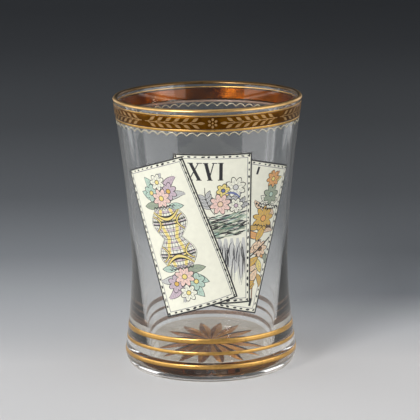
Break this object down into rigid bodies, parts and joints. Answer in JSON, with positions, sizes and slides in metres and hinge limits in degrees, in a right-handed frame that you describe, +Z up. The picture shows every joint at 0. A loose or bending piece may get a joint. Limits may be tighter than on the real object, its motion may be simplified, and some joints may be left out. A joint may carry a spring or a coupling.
{
  "type": "glass beaker",
  "caption": "Waisted clear glass beaker with a gilded rim band, gold foot rings, a gilded base star and enamelled playing cards on one side.",
  "frame": {"origin": "centre of the underside, on the surface that the beaker stands on", "axes": "+Z up along the beaker's axis, -Y towards the side with the playing cards, +X to the right seen from that side"},
  "size_m": [0.0784, 0.0784, 0.1137],
  "materials": {
    "clear_glass": "polished clear glass with a faint grey tone",
    "bright_gold": "burnished gilding, softly glossy, slightly worn",
    "dark_gold": "etched olive brown gold ground, satin",
    "pale_gold": "pale satin gilding",
    "star_gold": "amber gilding seen through the base",
    "cream_enamel": "opaque cream enamel, satin gloss",
    "black_enamel": "black enamel line work",
    "green_enamel": "translucent mint green enamel",
    "rose_enamel": "translucent rose enamel",
    "ochre_enamel": "translucent ochre enamel"
  },
  "bodies": {
    "root": {"glass_body": "clear_glass", "lip_gilding": "bright_gold", "band_upper_line": "bright_gold", "band_ground": "dark_gold", "band_lower_line": "bright_gold", "band_scallops": "pale_gold", "garland_rosette_1": "pale_gold", "garland_rosette_2": "pale_gold", "garland_rosette_3": "pale_gold", "garland_rosette_4": "pale_gold", "garland_spray_1": "pale_gold", "garland_spray_2": "pale_gold", "garland_spray_3": "pale_gold", "garland_spray_4": "pale_gold", "garland_spray_5": "pale_gold", "garland_spray_6": "pale_gold", "garland_spray_7": "pale_gold", "garland_spray_8": "pale_gold", "foot_ring_upper": "bright_gold", "foot_ring_middle": "bright_gold", "foot_ring_lower": "bright_gold", "base_star": "star_gold", "card_left": "cream_enamel", "card_left_edging": "black_enamel", "card_left_ornament": "green_enamel", "card_middle": "cream_enamel", "card_middle_edging": "black_enamel", "card_middle_number": "black_enamel", "card_middle_ornament": "rose_enamel", "card_right": "cream_enamel", "card_right_edging": "black_enamel", "card_right_ornament": "ochre_enamel"}
  },
  "joints": []
}
